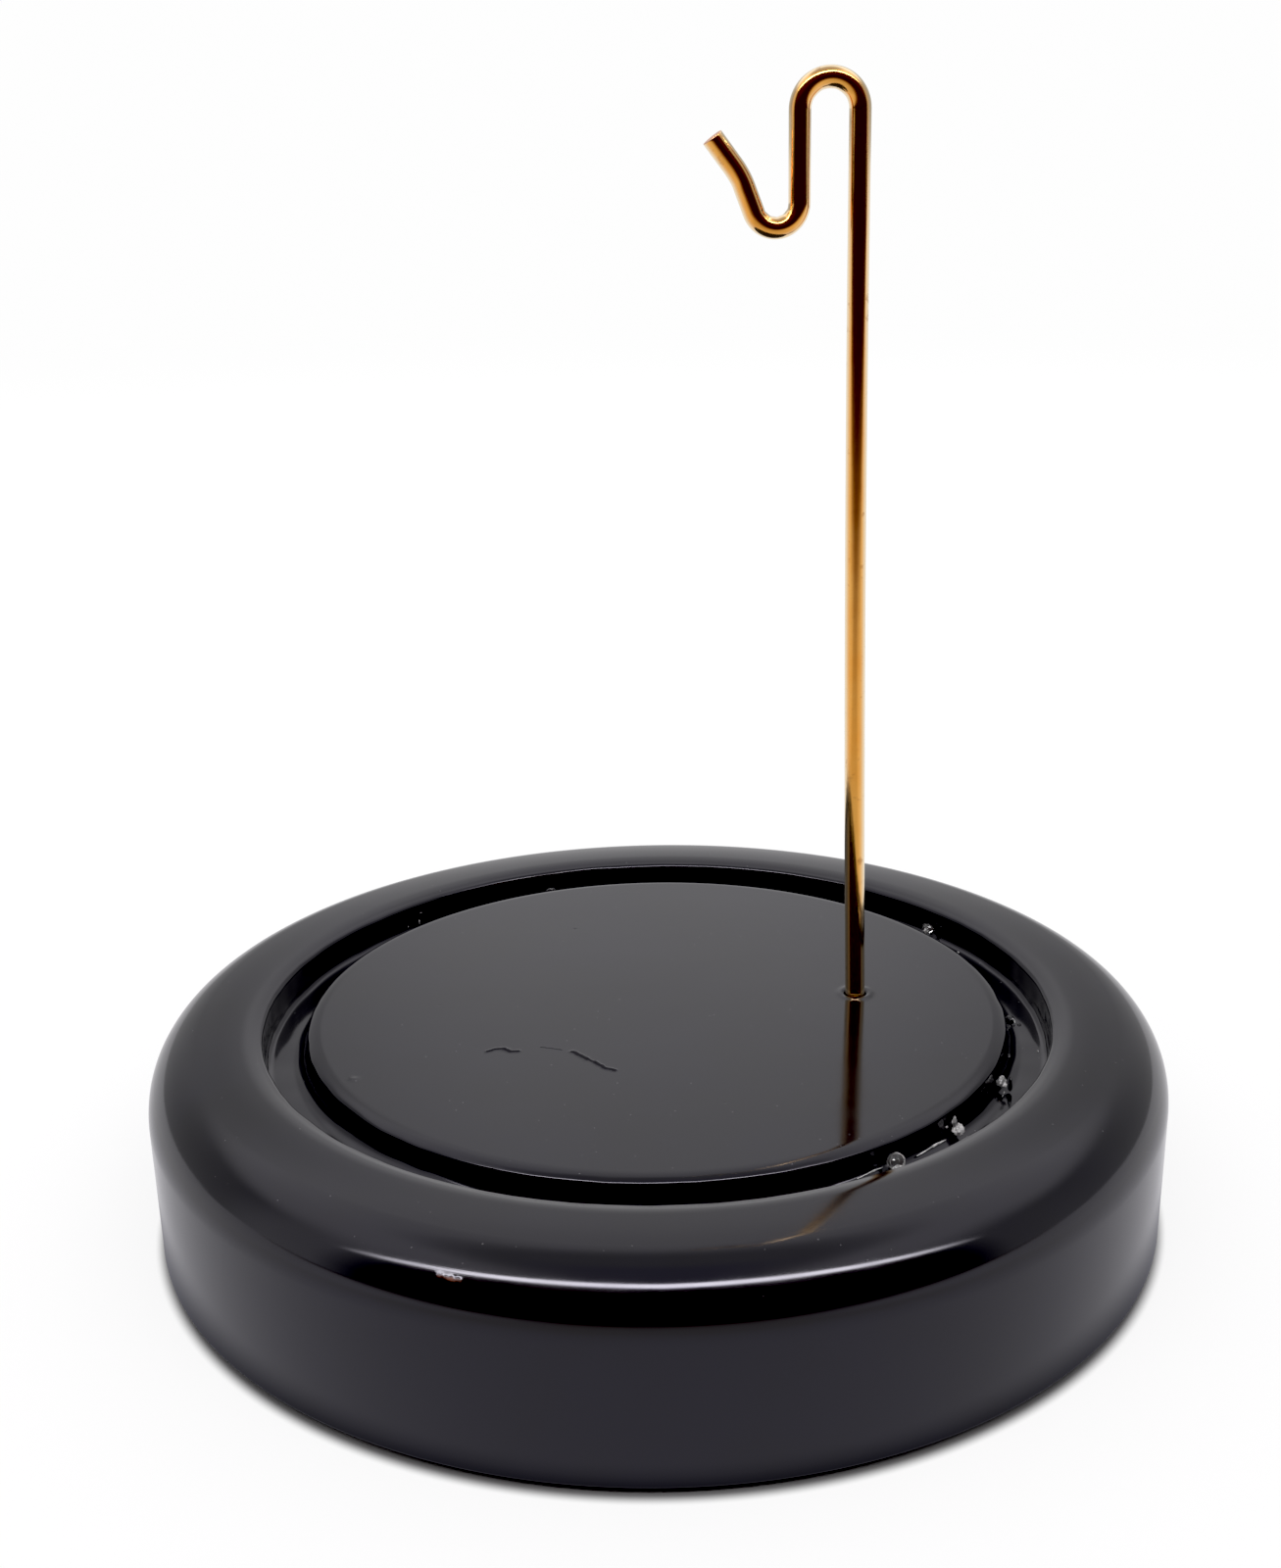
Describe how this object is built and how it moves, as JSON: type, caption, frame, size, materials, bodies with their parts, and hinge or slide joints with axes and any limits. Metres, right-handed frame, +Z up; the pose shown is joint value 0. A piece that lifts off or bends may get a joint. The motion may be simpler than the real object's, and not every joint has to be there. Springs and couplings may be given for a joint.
{
  "type": "pocket watch display stand",
  "caption": "Round lacquered wooden base with a ring groove for a small glass dome, and a bent brass wire hook that carries a pocket watch over its table.",
  "frame": {"origin": "on the base's axis, on the surface that the stand rests on (underside of the felt pad)", "axes": "+Z up along the base's axis; the wire stands on the +Y side of the middle and its hook points to -Y, the front"},
  "size_m": [0.102, 0.102, 0.1101],
  "materials": {
    "black_lacquer": "turned wood under several coats of gloss black lacquer",
    "brass": "polished drawn wire",
    "felt": "pressed wool felt"
  },
  "bodies": {
    "base": {"turned_base": "black_lacquer", "felt_pad": "felt"},
    "hook": {"hook_wire": "brass"}
  },
  "joints": [
    {"name": "hook_turn", "type": "hinge", "parent": "base", "child": "hook", "pos_m": [0, 0.0206, 0.0202], "axis": [0, 0, 1], "continuous": true}
  ]
}
